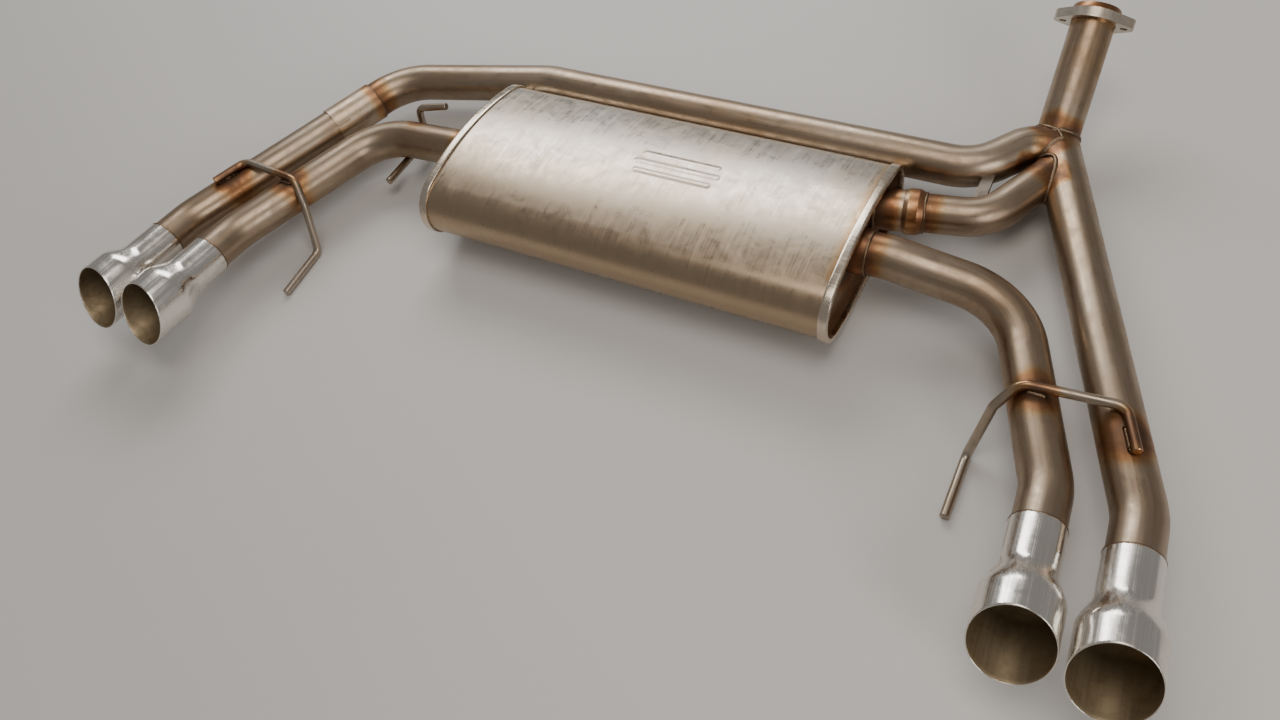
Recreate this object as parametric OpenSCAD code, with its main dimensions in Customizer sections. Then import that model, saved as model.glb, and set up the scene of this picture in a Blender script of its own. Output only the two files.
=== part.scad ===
// Twin-outlet rear silencer: oval silencer body, a tube that bypasses it, four tail tips,
// welded rod hangers and a loose two-bolt inlet flange. Millimetres.
// Laid out level: X to the right, Y towards the inlet, Z up, silencer centre at zero.
// rest() then tips the whole part nose-down onto the floor it lies on.

/* [Silencer body] */
// Length over the two rolled seams
body_length = 590; // [400:10:800]
// Half of the oval's width
body_half_width = 140; // [90:1:200]
// Half of the oval's height
body_half_height = 56; // [40:1:90]
// Radius of the oval's two ends
body_end_radius = 43; // [20:1:55]
// Sheet thickness of the body
sheet = 1.5; // [1:0.1:3]
// Rolled seam: how far it stands out from the sheet
seam_height = 3; // [1:0.5:6]
// Rolled seam: length along the body
seam_length = 12; // [6:1:20]
// How far the end caps sit inside the seams
cap_recess = 18; // [5:1:30]

/* [Tubes] */
// Outer diameter of the exhaust tube
tube_od = 54; // [40:1:76]
// Outer diameter of the tube that feeds the silencer
feed_od = 49; // [35:1:70]
// Wall of every tube
tube_wall = 1.5; // [1:0.1:3]
// Outer diameter of the slip sleeve
sleeve_od = 58; // [50:1:80]

/* [Tail layout] */
// Centre distance of the inner tails from the middle, at the tail bends
inner_tail_x = 569; // [300:1:800]
// Centre distance of the outer tails from the middle, at the tail bends
outer_tail_x = 658; // [400:1:900]
// Distance of the tail bends behind the silencer's middle
tail_bend_y = 242; // [150:1:400]
// How far the tails splay outwards
tail_splay = 22; // [0:1:40]

/* [Tips] */
// Outer diameter of a tip at its mouth
tip_od = 82; // [60:1:120]
// Distance from the tail bend to the middle of the mouth
tip_reach = 182; // [120:1:260]
// Length of the sleeve over the tube
tip_sleeve = 48; // [20:1:80]
// Length of the flare
tip_flare = 34; // [15:1:60]
// Angle of the slash-cut mouth
tip_slash = 25; // [0:1:45]

/* [Hangers] */
// Diameter of the hanger rods
rod_d = 11; // [6:0.5:14]
// Length of a hanger's straight end
hanger_leg = 81; // [40:1:120]

/* [Inlet flange] */
// Distance of the flange face from the junction, along the inlet tube
flange_reach = 164; // [120:1:300]
// How steeply the inlet tube climbs
inlet_rise = 40; // [0:1:60]
// Flange thickness
flange_thick = 12; // [5:1:16]
// Distance between the two bolt holes
bolt_spacing = 74; // [70:1:110]
// Bolt hole diameter
bolt_hole = 9; // [6:0.5:12]
// Radial clearance of the loose flange on the tube
flange_play = 0.4; // [0.2:0.1:1]

/* [Hidden] */
$fn = 64;

tube_r = tube_od / 2;
feed_r = feed_od / 2;
rod_r = rod_d / 2;
tip_r = tip_od / 2;
fit = 0.05;
rest_pitch = 5.7;
rest_lift = 60.92;
rest_y = 14.53;
end_x = body_length / 2;
cap_x = end_x - cap_recess;
cap_thick = 2;
splay = tan(tail_splay);

// Tail line on the right: height and sideways place at a given y
function tail(x, y) = [x - splay * (y + tail_bend_y), y, -18 + 0.051 * (y + tail_bend_y)];
function flip(p) = [-p.x, p.y, p.z];
function unit(v) = v / norm(v);
inner_bend = tail(inner_tail_x, -tail_bend_y);
outer_bend = tail(outer_tail_x, -tail_bend_y);
tip_dir = unit([0.058, -0.998, 0.038]);
merge = tail(outer_tail_x, 260);
inlet_dir = unit([0.01, cos(inlet_rise), sin(inlet_rise)]);
flange_at = merge + inlet_dir * flange_reach;
inlet_end = flange_at + inlet_dir * 8;
feed_port = [cap_x + 10, 78, 0];
feed_knee = [412, 100, 0];
right_port = [cap_x + 10, -16, 15];
left_port = [-cap_x - 10, 2, 4];
feed_dir = unit(feed_knee - feed_port);
right_run = tail(inner_tail_x, -16);
left_run = flip(tail(inner_tail_x, 2));
cross_left = flip(tail(outer_tail_x, 118));
sleeve_top = flip(tail(outer_tail_x, 64));
sleeve_low = flip(tail(outer_tail_x, -8));
left_line = unit(sleeve_low - sleeve_top);
feed_path = [feed_port, feed_knee, [464, 198, 4]];
cross_path = [[461, 245, 8], [426, 238, 10], [375, 177, 6], [-270, 177, 6], cross_left,
    sleeve_top + left_line * 36];
cross_bends = [45, 70, 100, 90];

module rest() translate([0, rest_y, rest_lift]) rotate([-rest_pitch, 0, 0]) children();

// Children drawn with local X, Y along x, y and their origin at o
module place(o, x, y) {
    z = cross(x, y);
    translate(o) rotate([atan2(y.z, z.z), -asin(x.z), atan2(x.y, x.x)]) children();
}

// Children drawn with local Z along d and local Y as near up as it can be
module aim(o, d) {
    x = unit([-d.y, d.x, 0]);
    place(o, x, cross(d, x)) children();
}

module ring(ro, ri, h) difference() {
    cylinder(h = h, r = ro);
    translate([0, 0, -1]) cylinder(h = h + 2, r = ri);
}

module run(a, b, ro, ri) aim(a, unit(b - a)) ring(ro, ri, norm(b - a));
module post(a, b, ro) aim(a, unit(b - a)) cylinder(h = norm(b - a), r = ro);

// One bend of a tube at the corner p, from direction u to direction w.
// It reaches a degree into each straight, with a skin a hair inside theirs.
module bend(p, u, w, radius, ro, ri) {
    n = unit(w - (w * u) * u);
    turn = acos(u * w);
    place(p - u * radius * tan(turn / 2) + n * radius, -n, u) rotate([0, 0, -1])
        rotate_extrude(angle = turn + 2) translate([radius, 0]) difference() {
            circle(r = ro - fit);
            if (ri > 0) circle(r = ri + fit);
        }
}

// A bent tube, or a bent rod when ri is 0, through the corners in p
module bent(p, radii, ro, ri) {
    last = len(p) - 1;
    u = [for (i = [0 : last - 1]) unit(p[i + 1] - p[i])];
    cut = [for (i = [0 : last])
        i == 0 || i == last ? 0 : radii[i - 1] * tan(acos(u[i - 1] * u[i]) / 2)];
    for (i = [0 : last - 1]) {
        a = p[i] + u[i] * cut[i];
        b = p[i + 1] - u[i] * cut[i + 1];
        if (ri > 0) run(a, b, ro, ri); else post(a, b, ro);
    }
    for (i = [1 : last - 1]) bend(p[i], u[i - 1], u[i], radii[i - 1], ro, ri);
}

module tube(p, radii, r = tube_r) bent(p, radii, r, r - tube_wall);

// Everything ahead of the plane through p with normal d
module beyond(p, d) aim(p, d) translate([-150, -150, 0]) cube([300, 300, 300]);

// The silencer's oval outline, grown by g: two small end arcs and two large flank arcs
module oval(g = 0) {
    r = body_end_radius + g;
    h = body_half_height + g;
    c = body_half_width - body_end_radius;
    flank = (c * c + h * h - r * r) / (2 * (h - r));
    reach = c * flank / (flank - r) - 2;
    for (s = [-1, 1]) translate([s * c, 0]) circle(r = r);
    intersection() {
        translate([0, h - flank]) circle(r = flank, $fn = 180);
        translate([0, flank - h]) circle(r = flank, $fn = 180);
        square([2 * reach, 3 * h], center = true);
    }
}

module slab(x0, x1, g = 0) translate([x0, 0, 0]) rotate([90, 0, 90]) linear_extrude(x1 - x0) oval(g);

module silencer_shell() color([0.72, 0.70, 0.66]) rest() difference() {
    slab(6 - end_x, end_x - 6);
    slab(-end_x, end_x, -sheet);
}

// Right-hand seam: the sheet's edge rolled over the cap's flange
module seam_ring() difference() {
    slab(end_x - seam_length, end_x, seam_height);
    slab(end_x - seam_length - 1, end_x - 6, fit);
    slab(end_x - 7, end_x + 1, -4);
    slab(end_x - 1, end_x + 1, 1.5);
}
module seam_ring_right() color([0.75, 0.73, 0.69]) rest() seam_ring();
module seam_ring_left() color([0.75, 0.73, 0.69]) rest() mirror([1, 0, 0]) seam_ring();

// Cap: a flat plate with an outward skirt that the seam grips
module cap_blank() difference() {
    slab(cap_x, end_x - 7, -sheet - fit);
    slab(cap_x + cap_thick, end_x, -sheet - fit - cap_thick);
}
module end_cap_right() color([0.55, 0.50, 0.45]) rest() difference() {
    cap_blank();
    translate([cap_x - 5, right_port.y, right_port.z]) rotate([0, 90, 0])
        cylinder(h = 12, r = tube_r + 2.2);
    aim(feed_port - feed_dir * 20, feed_dir) cylinder(h = 30, r = feed_r + 2.2);
}
module end_cap_left() color([0.55, 0.50, 0.45]) rest() difference() {
    mirror([1, 0, 0]) cap_blank();
    translate([-cap_x - 7, left_port.y, left_port.z]) rotate([0, 90, 0])
        cylinder(h = 12, r = tube_r + 2.2);
}

module baffle(x, holes) difference() {
    slab(x, x + 2, -sheet - fit);
    for (q = holes) translate([x - 1, q.y, q.z]) rotate([0, 90, 0]) cylinder(h = 4, r = q.x + fit);
}
module baffle_left() color([0.5, 0.48, 0.45]) rest()
    baffle(-132, [[feed_r, 78, 0], [tube_r, left_port.y, left_port.z]]);
module baffle_right() color([0.5, 0.48, 0.45]) rest()
    baffle(130, [[feed_r, 78, 0], [tube_r, right_port.y, right_port.z]]);

// A straight perforated tube along X
module core(x0, x1, y, z, r, first, count) difference() {
    translate([x0, y, z]) rotate([0, 90, 0]) ring(r, r - tube_wall, x1 - x0);
    for (i = [0 : count - 1], a = [0, 60, 120])
        translate([first + i * 18, y, z]) rotate([a, 0, 0])
            cylinder(h = 3 * r, r = 3, center = true, $fn = 24);
}
module feed_core() color([0.5, 0.48, 0.45]) rest() core(-190, cap_x - 12, 78, 0, feed_r, -100, 8);
module core_left() color([0.5, 0.48, 0.45]) rest()
    core(8 - cap_x, -60, left_port.y, left_port.z, tube_r, -240, 5);
module core_right() color([0.5, 0.48, 0.45]) rest()
    core(40, cap_x - 8, right_port.y, right_port.z, tube_r, 150, 5);

// Collars: short spigots welded into the caps, with the tubes pushed in
module collar_right() color([0.62, 0.50, 0.38]) rest()
    translate([cap_x - 6, right_port.y, right_port.z]) rotate([0, 90, 0])
        ring(tube_r + 2.1, tube_r + fit, 32);
module collar_left() color([0.62, 0.50, 0.38]) rest()
    translate([-cap_x - 30, left_port.y, left_port.z]) rotate([0, 90, 0])
        ring(tube_r + 2.1, tube_r + fit, 36);
module collar_feed() color([0.62, 0.45, 0.32]) rest() aim(feed_port - feed_dir * 14, feed_dir)
    rotate_extrude() polygon([[feed_r + fit, 0], [feed_r + 2.1, 0], [feed_r + 2.1, 40],
        [feed_r + 4.5, 46], [feed_r + 4.5, 58], [feed_r + 1.2, 66], [feed_r + fit, 66]]);

module feed_pipe() color([0.66, 0.58, 0.50]) rest() difference() {
    tube(feed_path, [65], feed_r);
    post(outer_bend, merge + (merge - outer_bend) * 0.1, tube_r);
}

module tail_right_inner() color([0.66, 0.58, 0.50]) rest()
    tube([right_port, [330, -16, 15], right_run, inner_bend, inner_bend + tip_dir * 70], [90, 95, 90]);
module tail_left_inner() color([0.66, 0.58, 0.50]) rest()
    tube([left_port, [-330, 2, 4], left_run, flip(inner_bend), flip(inner_bend + tip_dir * 70)],
        [90, 85, 90]);

// The outer right tail and the inlet tube meet on a mitre
mitre = unit(unit(merge - outer_bend) + inlet_dir);
module tail_right_outer() color([0.64, 0.57, 0.50]) rest() difference() {
    tube([merge + unit(merge - outer_bend) * 20, outer_bend, outer_bend + tip_dir * 70], [90]);
    beyond(merge, mitre);
}
module inlet_pipe() color([0.62, 0.54, 0.47]) rest() difference() {
    run(merge - inlet_dir * 20, inlet_end, tube_r, tube_r - tube_wall);
    beyond(merge, -mitre);
}

module crossover_pipe() color([0.66, 0.58, 0.50]) rest() difference() {
    tube(cross_path, cross_bends);
    difference() {
        post(outer_bend, merge + (merge - outer_bend) * 0.1, tube_r);
        beyond(merge, mitre);
    }
    difference() {
        post(merge - inlet_dir * 30, inlet_end, tube_r);
        beyond(merge, -mitre);
    }
}
module tail_left_outer() color([0.66, 0.58, 0.50]) rest()
    tube([sleeve_top + left_line * 40, flip(outer_bend), flip(outer_bend + tip_dir * 70)], [90]);

// Sleeve over the two tube ends, slit at its lower end where it is clamped
module slip_sleeve() color([0.60, 0.52, 0.44]) rest() aim(sleeve_top, left_line) difference() {
    ring(sleeve_od / 2, tube_r + fit, norm(sleeve_low - sleeve_top));
    for (a = [30, 150]) rotate([0, 0, a])
        translate([0, -1.5, norm(sleeve_low - sleeve_top) - 22]) cube([sleeve_od, 3, 30]);
}

// Slash-cut tip: sleeve over the tube, flare, straight mouth
module tip() difference() {
    rotate_extrude() polygon([[tube_r + fit, 0], [tube_r + 1.7, 0], [tube_r + 1.7, tip_sleeve],
        [tip_r - 1, tip_sleeve + tip_flare - 4], [tip_r, tip_sleeve + tip_flare + 4], [tip_r, 180],
        [tip_r - tube_wall, 180], [tip_r - tube_wall, tip_sleeve + tip_flare + 4],
        [tip_r - tube_wall - 1, tip_sleeve + tip_flare - 4], [tube_r + fit, tip_sleeve]]);
    translate([0, 0, tip_reach - 50]) rotate([-tip_slash, 0, 0]) translate([-60, -90, 0])
        cube([120, 180, 120]);
}
module tip_on(p) aim(p + tip_dir * 50, tip_dir) tip();
module tip_right_inner() color([0.85, 0.84, 0.82]) rest() tip_on(inner_bend);
module tip_right_outer() color([0.85, 0.84, 0.82]) rest() tip_on(outer_bend);
module tip_left_inner() color([0.85, 0.84, 0.82]) rest() mirror([1, 0, 0]) tip_on(inner_bend);
module tip_left_outer() color([0.85, 0.84, 0.82]) rest() mirror([1, 0, 0]) tip_on(outer_bend);

// Rod welded along the outer tail, across both tails, down and back to a straight leg on the floor
rod_lift = [0, 0, tube_r + rod_r + 0.3];
rod_turn = [480, -194, rod_r - 80.54];
module hanger() bent([tail(outer_tail_x, -192) + rod_lift, tail(outer_tail_x, -142) + rod_lift,
    [514, -150, 19.9], [494, -168, -8], rod_turn, rod_turn - [0, 1, 0.1] * hanger_leg],
    [16, 20, 20, 14], rod_r, 0);
module hanger_right() color([0.60, 0.55, 0.50]) rest() hanger();
module hanger_left() color([0.60, 0.55, 0.50]) rest() mirror([1, 0, 0]) hanger();

// Short rod hung behind and under the left port
module hanger_middle() color([0.60, 0.55, 0.50]) rest()
    bent([[-378, 56, 28], [-428, 48, 20], [-430, 44, -34.5], [-430, -60, -37.4]], [14, 14], rod_r, 0);

// Small tab that ties the feed pipe to the crossover
module brace_tab() color([0.45, 0.42, 0.40]) rest() difference() {
    translate([388, 110, 2]) cube([14, 60, 8]);
    bent(feed_path, [65], feed_r + fit, 0);
    bent(cross_path, cross_bends, tube_r + fit, 0);
}

// Flared lip that keeps the loose flange on the inlet tube
module inlet_lip() color([0.62, 0.54, 0.47]) rest() aim(flange_at + inlet_dir * 0.3, inlet_dir)
    rotate_extrude() polygon([[tube_r + fit, 0], [tube_r + 4, 0], [tube_r + 4, 2], [tube_r + 2, 8],
        [tube_r + fit, 8]]);

// Oval two-bolt plate: a round middle, two ears and the straight-sided web between them
module flange_blank(h) {
    big = 35;
    ear = 11.5;
    lean = acos((big - ear) / (bolt_spacing / 2));
    cylinder(h = h, r = big);
    for (s = [-1, 1]) translate([s * bolt_spacing / 2, 0, 0]) cylinder(h = h, r = ear);
    near = [(big - fit) * cos(lean), (big - fit) * sin(lean)];
    far = [bolt_spacing / 2 + (ear - fit) * cos(lean), (ear - fit) * sin(lean)];
    linear_extrude(h) polygon([near, far, [far.x, -far.y], [near.x, -near.y],
        -near, -far, [-far.x, far.y], [-near.x, near.y]]);
}
module inlet_flange() color([0.70, 0.67, 0.62]) rest() aim(flange_at - inlet_dir * flange_thick, inlet_dir)
    difference() {
        flange_blank(flange_thick);
        translate([0, 0, -1]) cylinder(h = flange_thick + 2, r = tube_r + flange_play);
        for (s = [-1, 1]) translate([s * bolt_spacing / 2, 0, -1])
            cylinder(h = flange_thick + 2, r = bolt_hole / 2);
    }

silencer_shell();
seam_ring_left();
seam_ring_right();
end_cap_left();
end_cap_right();
baffle_left();
baffle_right();
feed_core();
core_left();
core_right();
collar_feed();
collar_left();
collar_right();
feed_pipe();
tail_left_inner();
tail_right_inner();
tail_right_outer();
inlet_pipe();
crossover_pipe();
tail_left_outer();
slip_sleeve();
tip_left_inner();
tip_left_outer();
tip_right_inner();
tip_right_outer();
hanger_left();
hanger_right();
hanger_middle();
brace_tab();
inlet_lip();
inlet_flange();
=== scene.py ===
import math

import bmesh
import bpy
from mathutils import Matrix, Vector, noise


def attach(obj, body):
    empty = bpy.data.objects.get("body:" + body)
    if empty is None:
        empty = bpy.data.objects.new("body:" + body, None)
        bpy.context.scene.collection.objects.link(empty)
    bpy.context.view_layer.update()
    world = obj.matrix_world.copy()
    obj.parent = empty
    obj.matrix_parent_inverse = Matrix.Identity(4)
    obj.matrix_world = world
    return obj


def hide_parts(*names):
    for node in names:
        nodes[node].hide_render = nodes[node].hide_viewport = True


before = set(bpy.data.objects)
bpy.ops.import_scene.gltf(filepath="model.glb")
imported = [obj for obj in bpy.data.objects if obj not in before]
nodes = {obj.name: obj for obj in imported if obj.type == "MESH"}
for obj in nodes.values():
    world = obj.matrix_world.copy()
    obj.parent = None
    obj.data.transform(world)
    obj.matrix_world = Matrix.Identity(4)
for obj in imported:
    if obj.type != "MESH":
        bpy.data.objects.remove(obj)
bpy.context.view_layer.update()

# ---------------------------------------------------------------- layout, in millimetres, laid out level
REST = Matrix.Translation((0, 14.53, 60.92)) @ Matrix.Rotation(math.radians(-5.7), 4, "X")
TO_ROW = Matrix.Scale(0.001, 4) @ REST
TUBE, FEED, ROD, WALL = 27.0, 24.5, 5.5, 1.5
SPLAY = math.tan(math.radians(22))
X = Vector((1, 0, 0))


def V(*p):
    return Vector(p)


def tail(x, y):
    return V(x - SPLAY * (y + 242), y, -18 + 0.051 * (y + 242))


def flip(p):
    return V(-p.x, p.y, p.z)


INNER, OUTER = tail(569, -242), tail(658, -242)
TIP_DIR = V(0.058, -0.998, 0.038).normalized()
MERGE = tail(658, 260)
INLET_DIR = V(0.01, math.cos(math.radians(40)), math.sin(math.radians(40))).normalized()
FLANGE = MERGE + INLET_DIR * 164
FEED_PORT, FEED_KNEE = V(287, 78, 0), V(412, 100, 0)
FEED_DIR = (FEED_KNEE - FEED_PORT).normalized()
SLEEVE_TOP, SLEEVE_LOW = flip(tail(658, 64)), flip(tail(658, -8))
LEFT_LINE = (SLEEVE_LOW - SLEEVE_TOP).normalized()
LIFT = V(0, 0, TUBE + ROD + 0.3)
HANGER = [tail(658, -192) + LIFT, tail(658, -142) + LIFT, V(514, -150, 19.9), V(494, -168, -8),
          V(480, -194, -75.04), V(480, -275, -83.14)]


def row(p):
    """A laid-out point as the object rests on the floor, in metres."""
    return TO_ROW @ Vector(p)


# ---------------------------------------------------------------- meshes
def make(name, verts, faces, body="exhaust", stands_for=(), smooth=40, attrs=None):
    """A mesh piece from laid-out millimetre points, riding on its body."""
    mesh = bpy.data.meshes.new(name)
    mesh.from_pydata([TO_ROW @ Vector(v) for v in verts], [], faces)
    work = bmesh.new()
    work.from_mesh(mesh)
    bmesh.ops.recalc_face_normals(work, faces=work.faces)
    work.to_mesh(mesh)
    work.free()
    for key, values in (attrs or {}).items():
        a = mesh.attributes.new(key, "FLOAT_VECTOR", "POINT")
        a.data.foreach_set("vector", [c for v in values for c in v])
    ob = bpy.data.objects.new(name, mesh)
    bpy.context.scene.collection.objects.link(ob)
    mesh.polygons.foreach_set("use_smooth", [True] * len(mesh.polygons))
    mesh.set_sharp_from_angle(angle=math.radians(smooth))
    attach(ob, body)
    if stands_for:
        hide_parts(*stands_for)
    return ob


def centreline(points, radii, step=6.0, turn=3.0):
    """Points and directions along straights joined by arcs of the given radii."""
    p = [Vector(q) for q in points]
    u = [(p[i + 1] - p[i]).normalized() for i in range(len(p) - 1)]
    out = []
    start = p[0]
    for i, d in enumerate(u):
        last = i == len(u) - 1
        angle = 0 if last else d.angle(u[i + 1])
        cut = 0 if last else radii[i] * math.tan(angle / 2)
        end = p[i + 1] - d * cut
        n = max(1, round((end - start).length / step))
        out += [(start.lerp(end, k / n), d) for k in range(n + (1 if last else 0))]
        if not last:
            inward = (u[i + 1] - d * d.dot(u[i + 1])).normalized()
            middle = end + inward * radii[i]
            m = max(2, math.ceil(math.degrees(angle) / turn))
            for k in range(m):
                t = angle * k / m
                out.append((middle - inward * radii[i] * math.cos(t) + d * radii[i] * math.sin(t),
                            d * math.cos(t) + inward * math.sin(t)))
            start = p[i + 1] + u[i + 1] * cut
    return out


def frames(line, up=V(0, 0, 1)):
    """Each point of a line with a side and an up direction, carried along without twist."""
    d = line[0][1]
    side = d.cross(up).normalized()
    out = []
    for p, t in line:
        side = (side - t * t.dot(side)).normalized()
        out.append((p, side, side.cross(t).normalized()))
    return out


def sweep(line, radii, count=48):
    """Sweeps one radius (a bar) or two (a tube's outside and inside) along a line.

    Returns points, faces and tube coordinates.
    """
    verts, coords, faces = [], [], []
    run, far = 0.0, []
    for i, (p, _) in enumerate(line):
        run += (p - line[i - 1][0]).length if i else 0
        far.append(run)
    fr = frames(line)
    hollow = len(radii) == 2
    layers = [(i, radii[0]) for i in range(len(line))]
    if hollow:
        layers += [(i, radii[1]) for i in reversed(range(len(line)))]
    for i, r in layers:
        p, s, w = fr[i]
        for k in range(count):
            a = 2 * math.pi * k / count
            verts.append(p + (s * math.cos(a) + w * math.sin(a)) * r)
            coords.append((far[i] / 1000, r * math.cos(a) / 1000, r * math.sin(a) / 1000))
    n = len(layers)
    wrap = n if hollow else n - 1
    for i in range(wrap):
        j = (i + 1) % n
        for k in range(count):
            m = (k + 1) % count
            faces.append((i * count + k, i * count + m, j * count + m, j * count + k))
    if not hollow:
        faces.append(tuple(range(count)))
        faces.append(tuple((n - 1) * count + k for k in range(count)))
    return verts, faces, coords


def pipe(name, points, radii, radius, node):
    """A bent tube with an open end at each side."""
    line = centreline(points, radii)
    verts, faces, coords = sweep(line, [radius, radius - WALL])
    return make(name, verts, faces, stands_for=[node], attrs={"tube": coords})


def rod(name, points, radii, node):
    """A bent bar with its two ends chamfered."""
    line = centreline(points, radii, step=4, turn=5)
    a, b = line[0], line[-1]
    chamfer = 1.0
    line = [a, (a[0] + a[1] * chamfer, a[1])] + line[1:-1] + [(b[0] - b[1] * chamfer, b[1]), b]
    verts, faces, coords = sweep(line, [ROD], count=24)
    for end, q in ((0, line[0][0]), (len(line) - 1, line[-1][0])):
        for k in range(24):
            i = end * 24 + k
            verts[i] = q + (verts[i] - q) * (1 - chamfer / ROD)
    return make(name, verts, faces, stands_for=[node], attrs={"tube": coords}, smooth=30)


def circle(centre, axis, radius, count=0):
    axis = axis.normalized()
    s = axis.cross(V(0, 0, 1)).normalized()
    w = s.cross(axis)
    count = count or max(48, round(2 * math.pi * radius / 1.1))
    return [centre + (s * math.cos(2 * math.pi * k / count) + w * math.sin(2 * math.pi * k / count)) * radius
            for k in range(count)]


def bead(name, path, size=2.0, closed=True, flat=0.75, pitch=2.4):
    """A weld bead: a swept bar whose surface steps like overlapping puddles."""
    n, count = len(path), 10
    far, run = [], 0.0
    for i in range(n):
        run += (path[i] - path[i - 1]).length if i else 0
        far.append(run)
    mid = sum(path, Vector()) / n
    verts, coords = [], []
    for i, p in enumerate(path):
        before = path[i - 1] if closed or i else path[0]
        after = path[(i + 1) % n] if closed or i < n - 1 else path[-1]
        t = (after - before).normalized()
        out = (p - mid) - t * t.dot(p - mid)
        out = out.normalized() if out.length > 1e-4 else t.cross(V(0, 0, 1)).normalized()
        side = t.cross(out)
        edge = 1.0 if closed else min(1.0, 0.35 + 0.35 * min(i, n - 1 - i))
        wander = noise.noise(p * 0.11) * 0.35 * size
        for k in range(count):
            a = 2 * math.pi * k / count
            step = 1 + 0.16 * math.sin(2 * math.pi * (far[i] + 0.7 * abs(math.cos(a))) / pitch)
            grow = 1 + 0.12 * noise.noise(p * 0.35)
            r = size * edge * step * grow
            verts.append(p + out * math.sin(a) * r * flat + side * (math.cos(a) * r + wander))
            coords.append((far[i] / 1000, r * math.cos(a) / 1000, r * math.sin(a) / 1000))
    faces = []
    for i in range(n if closed else n - 1):
        j = (i + 1) % n
        faces += [(i * count + k, j * count + k, j * count + (k + 1) % count, i * count + (k + 1) % count)
                  for k in range(count)]
    if not closed:
        faces.append(tuple(range(count)))
        faces.append(tuple((n - 1) * count + k for k in range(count)))
    return make(name, verts, faces, smooth=80, attrs={"tube": coords})


def crossing(branch_at, branch_dir, radius, mains, reach=120, count=160):
    """Where a round branch tube first meets any of the main tubes (point, direction, radius)."""
    s = branch_dir.cross(V(0, 0, 1)).normalized()
    w = s.cross(branch_dir)
    out = []
    for k in range(count):
        a = 2 * math.pi * k / count
        o = branch_at + (s * math.cos(a) + w * math.sin(a)) * radius
        best = None
        for c, d, r in mains:
            x = (o - c) - d * d.dot(o - c)
            y = branch_dir - d * d.dot(branch_dir)
            qa, qb, qc = y.dot(y), 2 * x.dot(y), x.dot(x) - r * r
            disc = qb * qb - 4 * qa * qc
            if disc >= 0:
                t = (-qb - math.sqrt(disc)) / (2 * qa)
                if -reach < t < reach:
                    best = t if best is None else min(best, t)
        if best is not None:
            out.append(o + branch_dir * best)
    return out


def resample(path, gap=1.1):
    n = len(path)
    out = []
    for i in range(n):
        a, b = path[i], path[(i + 1) % n]
        m = max(1, round((b - a).length / gap))
        out += [a.lerp(b, k / m) for k in range(m)]
    return out


# Silencer skin: a dense oval skin with slight waviness and three plain stamped ribs
def oval(g=0.0):
    """The oval's outline as (point, normal) pairs at even steps, grown by g."""
    r, h, c = 43.0, 56.0, 97.0
    flank = (c * c + h * h - r * r) / (2 * (h - r))
    lean = math.asin(c / (flank - r))
    out = []
    m = 96
    for k in range(m):
        a = -lean + 2 * lean * k / m
        out.append(((math.sin(a) * flank, h - flank + math.cos(a) * flank), (math.sin(a), math.cos(a))))
    e = 28
    for k in range(e):
        a = lean + (math.pi - 2 * lean) * k / e
        out.append(((c + math.sin(a) * r, math.cos(a) * r), (math.sin(a), math.cos(a))))
    full = out + [((-y, -z), (-ny, -nz)) for (y, z), (ny, nz) in out]
    return [(V(0, y + ny * g, z + nz * g), V(0, ny, nz)) for (y, z), (ny, nz) in full]


def stamp(x, y):
    """Height of the three plain ribs stamped in the silencer's upper side."""
    def soft(d, w):
        t = max(0.0, min(1.0, (w - d) / 1.8))
        return t * t * (3 - 2 * t)
    u, v = x - 34, y - 8
    ribs = ((17, 52), (0, 58), (-17, 52))         # (distance across, half length)
    return 0.8 * max(soft(math.hypot(max(0.0, abs(u) - half), v - at), 4.4) for at, half in ribs)


def skin():
    fine = [34 + k * 1.5 for k in range(-64, 65)]
    xs = [-289 + k * 9.4 for k in range(24)] + fine + [137 + k * 8.9 for k in range(18)]
    xs = sorted(x for x in xs if -289 <= x <= 289)
    xs[0], xs[-1] = -289, 289
    outline = oval()
    verts, faces, coords = [], [], []
    count = len(outline)

    def layer(x, depth):
        for p, n in outline:
            q = V(x, p.y, p.z)
            wave = 0.16 * noise.noise(V(x * 0.010, p.y * 0.014, p.z * 0.014)) + 0.05 * noise.noise(q * 0.04)
            fade = min(1.0, (289 - abs(x)) / 40)
            lift = wave * fade - depth
            if depth == 0 and n.z > 0.6:
                lift += stamp(x, p.y)
            verts.append(q + n * lift)
            coords.append((x / 1000, p.y / 1000, p.z / 1000))
    for x in xs:
        layer(x, 0)
    for x in (289, -289):
        layer(x, 1.5)
    n = len(xs) + 2
    for i in range(n):
        j = (i + 1) % n
        for k in range(count):
            m = (k + 1) % count
            faces.append((i * count + k, j * count + k, j * count + m, i * count + m))
    return make("body_skin", verts, faces, stands_for=["silencer_shell"],
                attrs={"tube": coords})


def rim(name, side, node):
    """The rolled seam at one end, with rounded edges."""
    profile = [(283, 0.05), (283.0, 1.6), (283.4, 2.5), (284.3, 2.95), (286, 3.0), (291.6, 3.0), (293.3, 2.9),
               (294.4, 2.3), (295.0, 1.2), (295.0, -2.6), (294.6, -3.6), (293.6, -4.0), (289.0, -4.0),
               (289.0, 0.05)]
    outline = oval()
    count, m = len(outline), len(profile)
    verts, coords = [], []
    for p, n in outline:
        for x, g in profile:
            verts.append(V(side * x, 0, 0) + p + n * g)
            coords.append((side * x / 1000, p.y / 1000, p.z / 1000))
    faces = [(i * m + k, i * m + (k + 1) % m, ((i + 1) % count) * m + (k + 1) % m, ((i + 1) % count) * m + k)
             for i in range(count) for k in range(m)]
    return make(name, verts, faces, stands_for=[node], smooth=30, attrs={"tube": coords})


def basis(origin, d):
    """Local frame with Z along d and Y as near up as it can be."""
    z = d.normalized()
    x = V(-z.y, z.x, 0).normalized()
    y = z.cross(x)
    m = Matrix((x, y, z)).transposed().to_4x4()
    m.translation = origin
    return m


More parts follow.
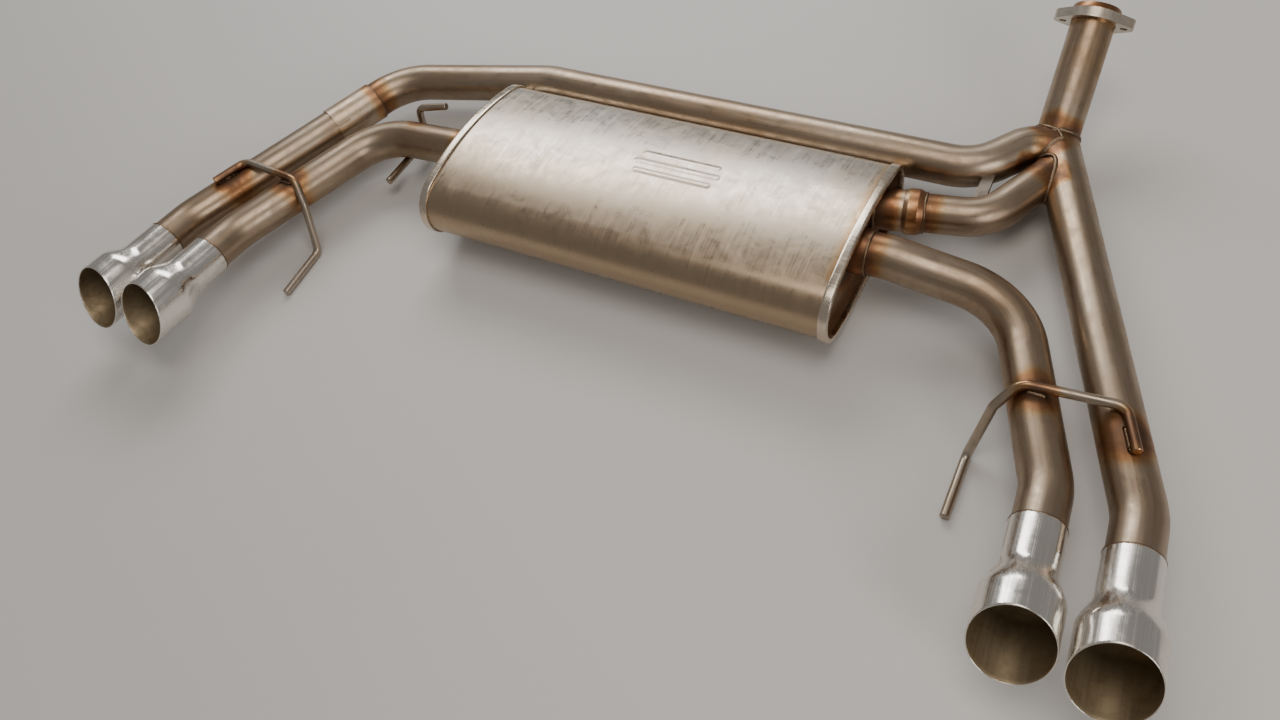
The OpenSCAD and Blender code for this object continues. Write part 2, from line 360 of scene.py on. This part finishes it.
def tip(name, corner, mirrored, node):
    """Slash-cut tip: a sleeve, an S-shaped flare and a thin round rim. Inner faces take a second material."""
    place = basis(corner + TIP_DIR * 50, TIP_DIR)
    count = 96
    slash = math.tan(math.radians(25))

    def radius(z):
        if z < 48:
            return 28.7
        if z < 86:
            t = (z - 48) / 38
            return 28.7 + (41 - 28.7) * t * t * (3 - 2 * t)
        return 41.0
    steps = [0, 1, 8, 20, 34, 44] + [48 + 38 * k / 16 for k in range(17)]
    layers = []                                   # offset inwards of each ring
    verts, coords = [], []

    def ring(inset, fixed=None, share=None, back=0.0):
        for k in range(count):
            a = 2 * math.pi * k / count
            if fixed is not None:
                z = fixed
            else:
                end = 132 - 41 * math.sin(a) * slash
                z = 86 + (end - back - 86) * share
            r = max(radius(z) - inset, 27.05)
            verts.append(place @ V(r * math.cos(a), r * math.sin(a), z))
            coords.append((z / 1000, r * math.cos(a) / 1000, r * math.sin(a) / 1000))
        layers.append(inset)
    for z in steps:
        ring(0, fixed=z)
    for s in (0.2, 0.4, 0.6, 0.8, 0.93, 1.0):
        ring(0, share=s, back=0.7)
    outside = len(layers)
    for inset, back in ((0.22, 0.2), (0.75, 0.0), (1.28, 0.2)):
        ring(inset, share=1.0, back=back)
    for s in (1.0, 0.93, 0.8, 0.6, 0.4, 0.2):
        ring(1.5, share=s, back=0.7)
    for z in reversed(steps):
        ring(1.5, fixed=z)
    n = len(layers)
    faces = []
    for i in range(n):
        j = (i + 1) % n
        faces += [(i * count + k, i * count + (k + 1) % count, j * count + (k + 1) % count, j * count + k)
                  for k in range(count)]
    if mirrored:
        verts = [flip(v) for v in verts]
    ob = make(name, verts, faces, stands_for=[node], attrs={"tube": coords}, smooth=50)
    inner_from = (outside + 3) * count
    ob.data.polygons.foreach_set("material_index", [1 if i >= inner_from else 0 for i in range(len(faces))])
    return ob


def lathe(name, place, profile, node, count=72):
    """A closed profile of (radius, distance) turned round the local Z of a frame."""
    verts, faces, coords = [], [], []
    m = len(profile)
    for k in range(count):
        a = 2 * math.pi * k / count
        for r, z in profile:
            verts.append(place @ V(r * math.cos(a), r * math.sin(a), z))
            coords.append((z / 1000, r * math.cos(a) / 1000, r * math.sin(a) / 1000))
    for k in range(count):
        j = (k + 1) % count
        faces += [(k * m + i, k * m + (i + 1) % m, j * m + (i + 1) % m, j * m + i) for i in range(m)]
    return make(name, verts, faces, stands_for=[node],
                smooth=35, attrs={"tube": coords})


# ---------------------------------------------------------------- materials
class Net:
    """Short calls to build one material's node tree."""

    def __init__(self, name):
        self.material = bpy.data.materials.new(name)
        self.material.use_nodes = True
        self.tree = self.material.node_tree
        self.shader = self.tree.nodes["Principled BSDF"]

    def put(self, socket, value):
        if isinstance(value, bpy.types.NodeSocket):
            self.tree.links.new(value, socket)
        else:
            socket.default_value = value

    def node(self, kind, out=0, props=None, **inputs):
        n = self.tree.nodes.new(kind)
        for k, v in (props or {}).items():
            setattr(n, k, v)
        for k, v in inputs.items():
            by_number = k[0] == "i" and k[1:].isdigit()
            self.put(n.inputs[int(k[1:]) if by_number else k.replace("_", " ")], v)
        return n.outputs[out]

    def math(self, op, a, b=0.0, clamp=False):
        return self.node("ShaderNodeMath", props={"operation": op, "use_clamp": clamp}, i0=a, i1=b)

    def vector(self, op, a, b=(0, 0, 0), out=0):
        return self.node("ShaderNodeVectorMath", out=out, props={"operation": op}, i0=a, i1=b)

    def mix(self, factor, a, b):
        n = self.tree.nodes.new("ShaderNodeMix")
        n.data_type = "RGBA"
        for i, v in ((0, factor), (6, a), (7, b)):
            self.put(n.inputs[i], v if isinstance(v, bpy.types.NodeSocket) or i == 0 else (*v, 1))
        return n.outputs[2]

    def noise(self, where, scale, detail=4.0, rough=0.55, distort=0.0):
        return self.node("ShaderNodeTexNoise", Vector=where, Scale=scale, Detail=detail, Roughness=rough,
                         Distortion=distort)

    def stretch(self, where, scale):
        return self.vector("MULTIPLY", where, scale)

    def span(self, value, lo, hi, to_lo=0.0, to_hi=1.0):
        return self.node("ShaderNodeMapRange", i0=value, i1=lo, i2=hi, i3=to_lo, i4=to_hi)

    def ramp(self, value, stops):
        n = self.tree.nodes.new("ShaderNodeValToRGB")
        e = n.color_ramp.elements
        while len(e) < len(stops):
            e.new(0.5)
        for item, (at, colour) in zip(e, stops):
            item.position = at
            item.color = (*colour, 1)
        self.put(n.inputs[0], value)
        return n.outputs[0]


def heat_field(net, obj, spots):
    """0 away from the welds to 1 at them. A spot is (point, axis or None, tube radius, width, strength)."""
    best = None
    for point, axis, radius, width, strength in spots:
        centre = row(point)
        offset = net.vector("SUBTRACT", obj, tuple(centre))
        length = net.vector("LENGTH", offset, out=1)
        if axis is None:
            far = net.math("SUBTRACT", length, radius / 1000)
        else:
            d = (REST.to_3x3() @ axis).normalized()
            along = net.math("ABSOLUTE", net.vector("DOT_PRODUCT", offset, tuple(d), out=1))
            over = net.math("MAXIMUM", net.math("SUBTRACT", length, 1.45 * radius / 1000), 0.0)
            far = net.math("ADD", along, net.math("MULTIPLY", over, 2.0))
        near = net.math("MULTIPLY", net.span(far, width / 1000, 0.0), strength)
        best = near if best is None else net.math("MAXIMUM", best, near)
    return best


HEAT = [(0.0, (1.0, 0.94, 0.82)), (0.22, (1.0, 0.82, 0.56)), (0.42, (0.82, 0.53, 0.32)),
        (0.60, (0.52, 0.31, 0.21)), (0.78, (0.34, 0.24, 0.20)), (1.0, (0.24, 0.20, 0.18))]


def steel(name, colour, rough=0.34, warm=(0.80, 0.62, 0.44), warmth=0.5, spots=(), grain=(14, 420, 420),
          bump=0.12, coords="tube", streak=0.0, dirt=0.35, metallic=1.0, front_shade=0.0):
    """Worn stainless steel: warm patches, smudges, a drawn grain and heat colours round the welds, and where
    asked a painted shade darkening it towards the front.
    """
    net = Net(name)
    obj = net.node("ShaderNodeTexCoord", out=3)
    where = obj
    if coords == "tube":
        where = net.node("ShaderNodeAttribute", out=1, props={"attribute_name": "tube"})
    patches = net.noise(obj, 7.0, 5.0, 0.6, 0.4)
    smudge = net.noise(obj, 42.0, 7.0, 0.62, 0.8)
    fine = net.noise(obj, 260.0, 5.0, 0.6)
    lines = net.noise(net.stretch(where, grain), 1.0, 6.0, 0.62)
    colour_now = net.mix(net.math("MULTIPLY", net.span(patches, 0.38, 0.66), warmth), colour,
                         tuple(c * w for c, w in zip(colour, warm)))
    colour_now = net.mix(net.math("MULTIPLY", net.span(smudge, 0.46, 0.72), dirt), colour_now,
                         tuple(c * w for c, w in zip(colour, (0.50, 0.42, 0.34))))
    colour_now = net.mix(net.math("MULTIPLY", net.span(lines, 0.35, 0.75), 0.22), colour_now,
                         tuple(min(1.0, c * 1.18) for c in colour))
    roughness = net.math("ADD", net.span(smudge, 0.3, 0.75, rough - 0.06, rough + 0.12),
                         net.span(lines, 0.3, 0.7, -0.05, 0.07))
    # Painted shade and reflection: the colour turns darker and warmer tan towards the front (-Y). It stands
    # in for a dark floor reflected in the front flank.
    if front_shade:
        back_to_front = net.vector("DOT_PRODUCT", obj, (0, -1, 0), out=1)
        colour_now = net.mix(net.math("MULTIPLY", net.span(back_to_front, -0.12, 0.11), front_shade), colour_now,
                             tuple(c * w for c, w in zip(colour, (0.66, 0.50, 0.34))))
    if streak:
        drawn = net.noise(net.stretch(where, (3, 150, 150)), 1.0, 5.0, 0.7)
        roughness = net.math("ADD", roughness, net.span(drawn, 0.45, 0.65, 0.0, streak))
        colour_now = net.mix(net.math("MULTIPLY", net.span(drawn, 0.5, 0.68), 0.5), colour_now,
                             tuple(min(1.0, c * 1.15) for c in colour))
    if spots:
        heat = heat_field(net, obj, spots)
        ragged = net.math("ADD", heat, net.span(smudge, 0.2, 0.8, -0.16, 0.16))
        ragged = net.math("ADD", ragged, net.span(fine, 0.2, 0.8, -0.05, 0.05))
        shown = net.math("MULTIPLY", net.span(heat, 0.02, 0.3), 0.92)
        tinted = net.vector("MULTIPLY", colour_now, net.ramp(ragged, HEAT))
        colour_now = net.mix(shown, colour_now, tinted)
        roughness = net.math("ADD", roughness, net.math("MULTIPLY", net.span(heat, 0.4, 1.0), 0.16))
    net.put(net.shader.inputs["Base Color"], colour_now)
    net.put(net.shader.inputs["Metallic"], metallic)
    net.put(net.shader.inputs["Roughness"], roughness)
    rise = net.math("ADD", net.math("MULTIPLY", lines, 0.6), net.math("MULTIPLY", fine, 0.4))
    net.put(net.shader.inputs["Normal"],
            net.node("ShaderNodeBump", Strength=bump, Distance=0.0006, Height=rise))
    return net.material


def paint(ob, *materials):
    ob.data.materials.clear()
    for m in materials:
        ob.data.materials.append(m)
    return ob


# ---------------------------------------------------------------- pieces
RIGHT_PORT, LEFT_PORT = V(287, -16, 15), V(-287, 2, 4)
RIGHT_RUN, LEFT_RUN = tail(569, -16), flip(tail(569, 2))
FEED_END = V(464, 198, 4)
CROSS = [V(461, 245, 8), V(426, 238, 10), V(375, 177, 6), V(-270, 177, 6), flip(tail(658, 118)),
         SLEEVE_TOP + LEFT_LINE * 36]
INLET_END = FLANGE + INLET_DIR * 8
OUT_DIR = (MERGE - OUTER).normalized()
OUT_TIP, IN_TIP = OUTER + TIP_DIR * 70, INNER + TIP_DIR * 70
MIDDLE = [V(-378, 56, 28), V(-428, 48, 20), V(-430, 44, -34.5), V(-430, -60, -37.4)]

skin_ob = skin()
rims = [rim("rim_left", -1, "seam_ring_left"), rim("rim_right", 1, "seam_ring_right")]
feed = pipe("pipe_feed", [FEED_PORT, FEED_KNEE, FEED_END], [65], FEED, "feed_pipe")
right_in = pipe("pipe_tail_right_inner", [RIGHT_PORT, V(330, -16, 15), RIGHT_RUN, INNER, IN_TIP],
                [90, 95, 90], TUBE, "tail_right_inner")
left_in = pipe("pipe_tail_left_inner", [LEFT_PORT, V(-330, 2, 4), LEFT_RUN, flip(INNER), flip(IN_TIP)],
               [90, 85, 90], TUBE, "tail_left_inner")
right_out = pipe("pipe_tail_right_outer", [MERGE, OUTER, OUT_TIP], [90], TUBE, "tail_right_outer")
left_out = pipe("pipe_tail_left_outer", [SLEEVE_TOP + LEFT_LINE * 40, flip(OUTER), flip(OUT_TIP)], [90], TUBE,
                "tail_left_outer")
cross_ob = pipe("pipe_crossover", CROSS, [45, 70, 100, 90], TUBE, "crossover_pipe")
inlet = pipe("pipe_inlet", [MERGE, INLET_END], [], TUBE, "inlet_pipe")
rod_right = rod("rod_right", HANGER, [16, 20, 20, 14], "hanger_right")
rod_left = rod("rod_left", [flip(p) for p in HANGER], [16, 20, 20, 14], "hanger_left")
rod_middle = rod("rod_middle", MIDDLE, [14, 14], "hanger_middle")
tips = [tip("tip_shell_right_inner", INNER, False, "tip_right_inner"),
        tip("tip_shell_right_outer", OUTER, False, "tip_right_outer"),
        tip("tip_shell_left_inner", INNER, True, "tip_left_inner"),
        tip("tip_shell_left_outer", OUTER, True, "tip_left_outer")]
lip = lathe("lip", basis(FLANGE + INLET_DIR * 0.3, INLET_DIR),
            [(27.05, 0), (30.4, 0), (31, 0.5), (31, 1.8), (30.6, 2.5), (29.2, 7.4), (28.7, 8), (27.05, 8)],
            "inlet_lip")

# Weld beads
beads = [bead("bead_port_right", circle(V(277.6, -16, 15), X, 29.6), 2.4),
         bead("bead_port_left", circle(V(-277.6, 2, 4), X, 29.6), 2.4),
         bead("bead_port_feed", circle(FEED_PORT - FEED_DIR * 8.6, FEED_DIR, 27.2), 2.4),
         bead("bead_collar_right", circle(V(303.4, -16, 15), X, 28.0), 1.7),
         bead("bead_collar_left", circle(V(-307.4, 2, 4), X, 28.0), 1.7),
         bead("bead_collar_feed", circle(FEED_PORT + FEED_DIR * 52.4, FEED_DIR, 25.2), 1.7),
         bead("bead_sleeve", circle(SLEEVE_TOP - LEFT_LINE * 0.2, LEFT_LINE, 27.8), 1.7)]
for label, corner, side in (("right_inner", INNER, 1), ("right_outer", OUTER, 1), ("left_inner", INNER, -1),
                            ("left_outer", OUTER, -1)):
    path = circle(corner + TIP_DIR * 49.6, TIP_DIR, 27.9)
    beads.append(bead("bead_tip_" + label, path if side > 0 else [flip(p) for p in path], 1.5))

mitre = (OUT_DIR + INLET_DIR).normalized()
ring = []
s = OUT_DIR.cross(V(0, 0, 1)).normalized()
w = s.cross(OUT_DIR)
for k in range(150):
    a = 2 * math.pi * k / 150
    off = (s * math.cos(a) + w * math.sin(a)) * (TUBE + 0.3)
    ring.append(MERGE + off - OUT_DIR * (off.dot(mitre) / OUT_DIR.dot(mitre)))
beads.append(bead("bead_merge", ring, 3.0))
mains = [(MERGE, OUT_DIR, TUBE), (MERGE, INLET_DIR, TUBE)]
cross_dir = (CROSS[0] - CROSS[1]).normalized()
meet_cross = crossing(CROSS[1], cross_dir, TUBE + 0.2, mains)
meet_feed = crossing(FEED_KNEE, (FEED_END - FEED_KNEE).normalized(), FEED + 0.2, mains[:1])
beads.append(bead("bead_crossover", resample(meet_cross), 3.0))
beads.append(bead("bead_feed", resample(meet_feed), 3.0))
LINE_DIR = (tail(658, -150) - tail(658, -190)).normalized()
side_dir = LINE_DIR.cross(V(0, 0, 1)).normalized()
over_outer = [tail(658, -190) + LINE_DIR * k for k in range(0, 34)]
inner_top = tail(569, -149) + V(0, 0, TUBE + 0.4)
for label, turn in (("right", lambda p: p), ("left", flip)):
    for mark, sign in (("a", 1), ("b", -1)):
        path = [turn(p + V(0, 0, TUBE - 0.2) + side_dir * sign * 4.6) for p in over_outer]
        beads.append(bead(f"bead_rod_{label}_{mark}", path, 3.3, closed=False))
        path = [turn(inner_top + V(k, sign * 4.4, -0.0012 * k * k * 12)) for k in range(-10, 11)]
        beads.append(bead(f"bead_rod_{label}_{mark}2", path, 3.2, closed=False))
beads.append(bead("bead_rod_middle", [V(-430 + 5.0, 0 + k, -32.6) for k in range(-9, 10)], 2.3, closed=False))

# ---------------------------------------------------------------- finishes
WARM = (0.38, 0.30, 0.222)
ports = [(V(277, -16, 15), X, 27, 46, 1.0), (V(303, -16, 15), X, 27, 30, 0.8)]
left_ports = [(V(-277, 2, 4), X, 27, 46, 1.0), (V(-307, 2, 4), X, 27, 30, 0.8)]
feeds = [(FEED_PORT - FEED_DIR * 8, FEED_DIR, FEED, 50, 1.0),
         (FEED_PORT + FEED_DIR * 52, FEED_DIR, FEED, 30, 0.75)]
merges = [(MERGE, mitre, TUBE, 26, 0.75), (V(452, 246, 8), cross_dir, TUBE, 34, 0.7),
          (V(458, 186, 4), (FEED_END - FEED_KNEE).normalized(), FEED, 30, 0.8)]


def at_rods(turn, inner):
    if inner:
        return [(turn(inner_top), None, 8, 30, 0.8), (turn(tail(569, -149)), turn(LINE_DIR), TUBE, 30, 0.5)]
    return [(turn(tail(658, -170) + V(0, 0, TUBE)), None, 14, 26, 0.8),
            (turn(tail(658, -170)), turn(LINE_DIR), TUBE, 38, 0.5)]


def same(p):
    return p


# The silencer skin takes a painted shade: darker and tan towards its front.
body = steel("sheet_steel", (0.62, 0.575, 0.51), rough=0.30, warmth=0.35, grain=(420, 9, 9), bump=0.07,
             dirt=0.12, front_shade=0.85,
             spots=[(V(283, 78, 0), X, 60, 16, 0.35), (V(283, -16, 15), X, 60, 14, 0.35)])
rim_steel = steel("rim_steel", (0.68, 0.60, 0.50), rough=0.22, warmth=0.4, bump=0.06, dirt=0.2)
# End caps: the warm brown base tone is a painted reflection of orange on the flat caps; the heat colours
# round the ports are real tint.
cap_right = steel("cap_steel_right", (0.50, 0.40, 0.30), rough=0.4, warmth=0.8, coords="obj",
                  grain=(300, 300, 300), spots=ports[:1] + feeds[:1])
cap_left = steel("cap_steel_left", (0.50, 0.40, 0.30), rough=0.4, warmth=0.8, coords="obj",
                 grain=(300, 300, 300), spots=left_ports[:1])
inner_steel = steel("inner_steel", (0.35, 0.30, 0.25), rough=0.5, warmth=0.8, coords="obj", dirt=0.7)
tube_feed = steel("tube_steel_feed", WARM, spots=feeds + merges)
tube_right_in = steel("tube_steel_right_inner", WARM, spots=ports + at_rods(same, True))
tube_left_in = steel("tube_steel_left_inner", WARM, spots=left_ports + at_rods(flip, True)
                     + [(V(-430, 2, -28), None, 4, 34, 0.95), (V(-404, 20, 22), None, 4, 22, 0.8)])
tube_right_out = steel("tube_steel_right_outer", WARM, spots=merges + at_rods(same, False))
tube_left_out = steel("tube_steel_left_outer", WARM, spots=at_rods(flip, False)
                      + [(SLEEVE_TOP, LEFT_LINE, TUBE, 30, 0.5)])
tube_cross = steel("tube_steel_crossover", WARM, spots=merges + [(SLEEVE_TOP, LEFT_LINE, TUBE, 36, 0.7)])
tube_inlet = steel("tube_steel_inlet", WARM, spots=merges + [(FLANGE, INLET_DIR, TUBE, 26, 0.5)], warmth=0.9)
collar_steel = {n: steel("heat_" + n, (0.54, 0.42, 0.31), coords="obj", grain=(300, 300, 300), spots=at,
                         warmth=0.8)
                for n, at in (("collar_right", ports), ("collar_left", left_ports), ("collar_feed", feeds))}
sleeve_steel = steel("sleeve_steel", (0.60, 0.52, 0.42), coords="obj", grain=(300, 300, 300), warmth=0.8,
                     spots=[(SLEEVE_TOP, LEFT_LINE, TUBE, 22, 0.6)])
bead_steel = steel("bead_steel", (0.24, 0.175, 0.12), rough=0.42, warmth=0.9, grain=(900, 200, 200), bump=0.2)
rod_steel = steel("rod_steel", (0.46, 0.40, 0.33), rough=0.30, warmth=0.6, grain=(20, 900, 900),
                  spots=[(inner_top, None, 4, 30, 0.8), (flip(inner_top), None, 4, 30, 0.8),
                         (tail(658, -170) + LIFT, None, 14, 24, 0.7),
                         (flip(tail(658, -170) + LIFT), None, 14, 24, 0.7)])
tip_steel = steel("tip_steel", (0.80, 0.77, 0.72), rough=0.16, warmth=0.2, dirt=0.15, grain=(10, 900, 900),
                  bump=0.05, streak=0.16)
soot = steel("tip_inside", (0.34, 0.27, 0.17), rough=0.46, warmth=0.4, dirt=0.9, grain=(12, 300, 300),
             bump=0.1, metallic=0.8)
flange_steel = steel("flange_steel", (0.62, 0.57, 0.50), rough=0.32, coords="obj", grain=(300, 300, 300),
                     dirt=0.5)
dark_steel = steel("brace_steel", (0.30, 0.26, 0.22), rough=0.5, coords="obj", grain=(200, 200, 200),
                   dirt=0.8)

paint(skin_ob, body)
for ob in rims:
    paint(ob, rim_steel)
for ob, m in ((feed, tube_feed), (right_in, tube_right_in), (left_in, tube_left_in),
              (right_out, tube_right_out), (left_out, tube_left_out), (cross_ob, tube_cross),
              (inlet, tube_inlet), (lip, tube_inlet)):
    paint(ob, m)
for ob in (rod_right, rod_left, rod_middle):
    paint(ob, rod_steel)
for ob in beads:
    paint(ob, bead_steel)
for ob in tips:
    ob.data.materials.append(tip_steel)
    ob.data.materials.append(soot)
for name, m in {"end_cap_right": cap_right, "end_cap_left": cap_left, "slip_sleeve": sleeve_steel,
                "inlet_flange": flange_steel, "brace_tab": dark_steel, **collar_steel}.items():
    paint(nodes[name], m)
for name in ("baffle_left", "baffle_right", "feed_core", "core_left", "core_right"):
    paint(nodes[name], inner_steel)

# ---------------------------------------------------------------- floor, light and camera
bpy.ops.mesh.primitive_grid_add(x_subdivisions=2, y_subdivisions=2, size=16, location=(0, 0, 0))
floor = bpy.context.object
floor.name = "floor"
plain = Net("floor_plain")
spot = plain.node("ShaderNodeTexCoord", out=3)
plain.put(plain.shader.inputs["Base Color"],
          plain.mix(plain.noise(spot, 1.3, 3.0), (0.62, 0.60, 0.575), (0.66, 0.645, 0.62)))
plain.put(plain.shader.inputs["Roughness"], 0.55)
floor.data.materials.append(plain.material)

world = bpy.data.worlds.new("studio")
world.use_nodes = True
world.node_tree.nodes["Background"].inputs[0].default_value = (0.80, 0.78, 0.76, 1)
world.node_tree.nodes["Background"].inputs[1].default_value = 0.30
bpy.context.scene.world = world


def softbox(name, place, aim_at, size, power, colour=(1, 1, 1)):
    lamp = bpy.data.lights.new(name, "AREA")
    lamp.shape, lamp.size, lamp.size_y = "RECTANGLE", *size
    lamp.energy, lamp.color = power, colour
    ob = bpy.data.objects.new(name, lamp)
    ob.location = place
    ob.rotation_mode = "QUATERNION"
    ob.rotation_quaternion = (Vector(aim_at) - Vector(place)).to_track_quat("-Z", "Y")
    bpy.context.scene.collection.objects.link(ob)


softbox("key", (-1.4, 2.2, 2.1), (0, 0, 0), (2.4, 1.3), 58)
softbox("top", (0.4, -0.2, 2.8), (0, 0, 0), (1.6, 1.6), 26, (1.0, 0.93, 0.86))
softbox("side", (2.6, -1.3, 1.5), (0.2, 0, 0), (1.2, 1.2), 22, (1.0, 0.96, 0.92))

lens = bpy.data.cameras.new("camera")
lens.lens, lens.sensor_width, lens.clip_start, lens.clip_end = 28.27, 36, 0.02, 60
camera = bpy.data.objects.new("camera", lens)
camera.matrix_world = Matrix(((0.87917, -0.27874, 0.38647, 0.56395), (0.43937, 0.7881, -0.4311, -0.74765),
                              (-0.18441, 0.54881, 0.81535, 1.04841), (0, 0, 0, 1)))
bpy.context.scene.collection.objects.link(camera)
bpy.context.scene.camera = camera
